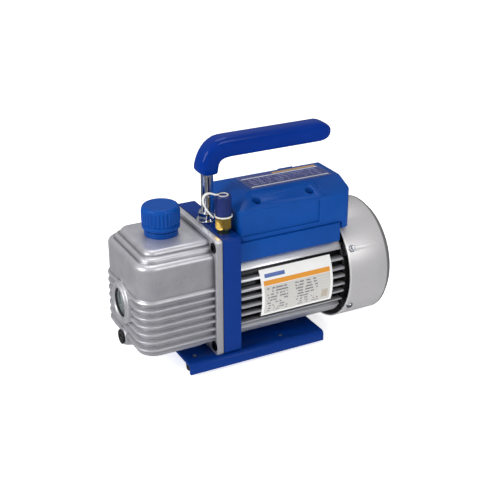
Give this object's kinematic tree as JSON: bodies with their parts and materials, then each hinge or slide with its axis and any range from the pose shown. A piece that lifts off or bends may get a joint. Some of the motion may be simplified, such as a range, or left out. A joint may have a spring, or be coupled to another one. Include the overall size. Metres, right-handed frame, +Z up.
{
  "type": "rotary vane vacuum pump",
  "caption": "Portable oil-sealed rotary vane vacuum pump with finned oil reservoir, direct-drive finned motor, terminal box, capped flare inlet and carry handle on a bent sheet base.",
  "frame": {"origin": "on the floor, under the middle of the overall box", "axes": "+X along the motor shaft from the oil reservoir to the fan cover, +Z up, -Y towards the nameplate side"},
  "size_m": [0.27, 0.119, 0.2143],
  "materials": {
    "blue_enamel": "gloss enamel",
    "blue_plastic": "moulded, satin",
    "cast_aluminium": "sand-textured casting, silver lacquer",
    "extruded_aluminium": "bright extrusion",
    "satin_steel": "silver-painted pressed sheet",
    "black_casting": "satin black",
    "rubber": "matte",
    "zinc_steel": "zinc plated",
    "black_oxide_steel": "black oxide",
    "brass": "machined",
    "chrome": "polished",
    "glass": "clear",
    "grey_iron": "machined casting",
    "ground_steel": "ground",
    "electrical_steel": "laminated",
    "copper": "enamelled wire",
    "black_plastic": "moulded",
    "red_plastic": "moulded",
    "white_plastic": "moulded nylon",
    "label_film": "printed film",
    "vane_composite": "machined laminate",
    "filter_fibre": "felted"
  },
  "bodies": {
    "frame": {"base_plate": "blue_enamel", "rubber_feet": "rubber", "foot_screws": "zinc_steel", "base_bolts": "zinc_steel", "pump_bracket": "blue_enamel", "oil_reservoir": "cast_aluminium", "reservoir_gasket": "black_plastic", "reservoir_bolts": "black_oxide_steel", "sight_glass_bezel": "extruded_aluminium", "sight_glass_lens": "glass", "sight_glass_seal": "rubber", "filler_neck": "blue_plastic", "exhaust_filter": "filter_fibre", "pump_cylinder": "grey_iron", "pump_end_cover": "grey_iron", "pump_cover_screws": "black_oxide_steel", "discharge_reed": "ground_steel", "valve_stop": "zinc_steel", "valve_screws": "zinc_steel", "shaft_seal": "rubber", "inlet_fitting": "brass", "inlet_screen": "brass", "inlet_cap_tether": "white_plastic", "handle_post": "chrome", "handle_grip": "blue_plastic", "handle_lock_nut": "chrome", "handle_washer": "chrome", "motor_housing": "extruded_aluminium", "motor_end_bell": "black_casting", "stator_core": "electrical_steel", "stator_windings": "copper", "bearing_outer_rings": "ground_steel", "fan_cover": "satin_steel", "fan_cover_screws": "zinc_steel", "tie_bolts": "zinc_steel", "nameplate": "label_film", "terminal_box_base": "blue_plastic", "terminal_box_cover": "blue_plastic", "cover_screws": "zinc_steel", "cover_label": "label_film", "run_capacitor": "white_plastic", "power_switch_body": "black_plastic", "power_inlet": "black_plastic"},
    "rotor": {"pump_rotor": "ground_steel", "vane_springs": "zinc_steel", "rotor_core": "electrical_steel", "motor_shaft": "ground_steel", "drive_key": "zinc_steel", "bearing_inner_rings": "ground_steel", "cooling_fan": "black_plastic"},
    "vane_a": {"vane_a": "vane_composite"},
    "vane_b": {"vane_b": "vane_composite"},
    "bearing_balls": {"bearing_balls": "chrome"},
    "filler_cap_lift": {"filler_cap_seal": "rubber"},
    "filler_cap": {"oil_filler_cap": "blue_plastic"},
    "inlet_cap_lift": {"inlet_cap_gasket": "rubber"},
    "inlet_cap": {"inlet_cap": "blue_plastic"},
    "drain_plug_lift": {"drain_plug_seal": "rubber"},
    "drain_plug": {"drain_plug": "black_oxide_steel"},
    "switch_rocker": {"switch_rocker": "red_plastic"}
  },
  "joints": [
    {"name": "rotor_spin", "type": "hinge", "parent": "frame", "child": "rotor", "pos_m": [0, 0, 0.0634], "axis": [1, 0, 0], "continuous": true},
    {"name": "bearing_ball_spin", "type": "hinge", "parent": "frame", "child": "bearing_balls", "pos_m": [0, 0, 0.0634], "axis": [1, 0, 0], "continuous": true},
    {"name": "vane_a_slide", "type": "slide", "parent": "rotor", "child": "vane_a", "axis": [0, 1, 0], "range_m": [0, 0.0042]},
    {"name": "vane_b_slide", "type": "slide", "parent": "rotor", "child": "vane_b", "axis": [0, -1, 0], "range_m": [0, 0.0042]},
    {"name": "filler_cap_lift", "type": "slide", "parent": "frame", "child": "filler_cap_lift", "axis": [0, 0, 1], "range_m": [0, 0.016]},
    {"name": "filler_cap_turn", "type": "hinge", "parent": "filler_cap_lift", "child": "filler_cap", "pos_m": [-0.089, 0, 0.145], "axis": [0, 0, 1], "range_deg": [0, 1440]},
    {"name": "inlet_cap_lift", "type": "slide", "parent": "frame", "child": "inlet_cap_lift", "axis": [0, 0, 1], "range_m": [0, 0.01397], "deforming": ["inlet_cap_tether"]},
    {"name": "inlet_cap_turn", "type": "hinge", "parent": "inlet_cap_lift", "child": "inlet_cap", "pos_m": [-0.0409, -0.034, 0.16], "axis": [0, 0, 1], "range_deg": [0, 3960]},
    {"name": "drain_plug_lift", "type": "slide", "parent": "frame", "child": "drain_plug_lift", "axis": [-1, 0, 0], "range_m": [0, 0.00875]},
    {"name": "drain_plug_turn", "type": "hinge", "parent": "drain_plug_lift", "child": "drain_plug", "pos_m": [-0.133, 0, 0.0295], "axis": [-1, 0, 0], "range_deg": [0, 2520]},
    {"name": "rocker_tilt", "type": "hinge", "parent": "frame", "child": "switch_rocker", "pos_m": [0.09, 0.019, 0.141], "axis": [0, -1, 0], "range_deg": [0, 18]}
  ],
  "couplings": [
    {"joint": "bearing_ball_spin", "follows": "rotor_spin", "ratio": 0.38},
    {"joint": "filler_cap_turn", "follows": "filler_cap_lift", "rad_per_m": 1570.8},
    {"joint": "inlet_cap_turn", "follows": "inlet_cap_lift", "rad_per_m": 4947.4},
    {"joint": "drain_plug_turn", "follows": "drain_plug_lift", "rad_per_m": 5026.5}
  ]
}
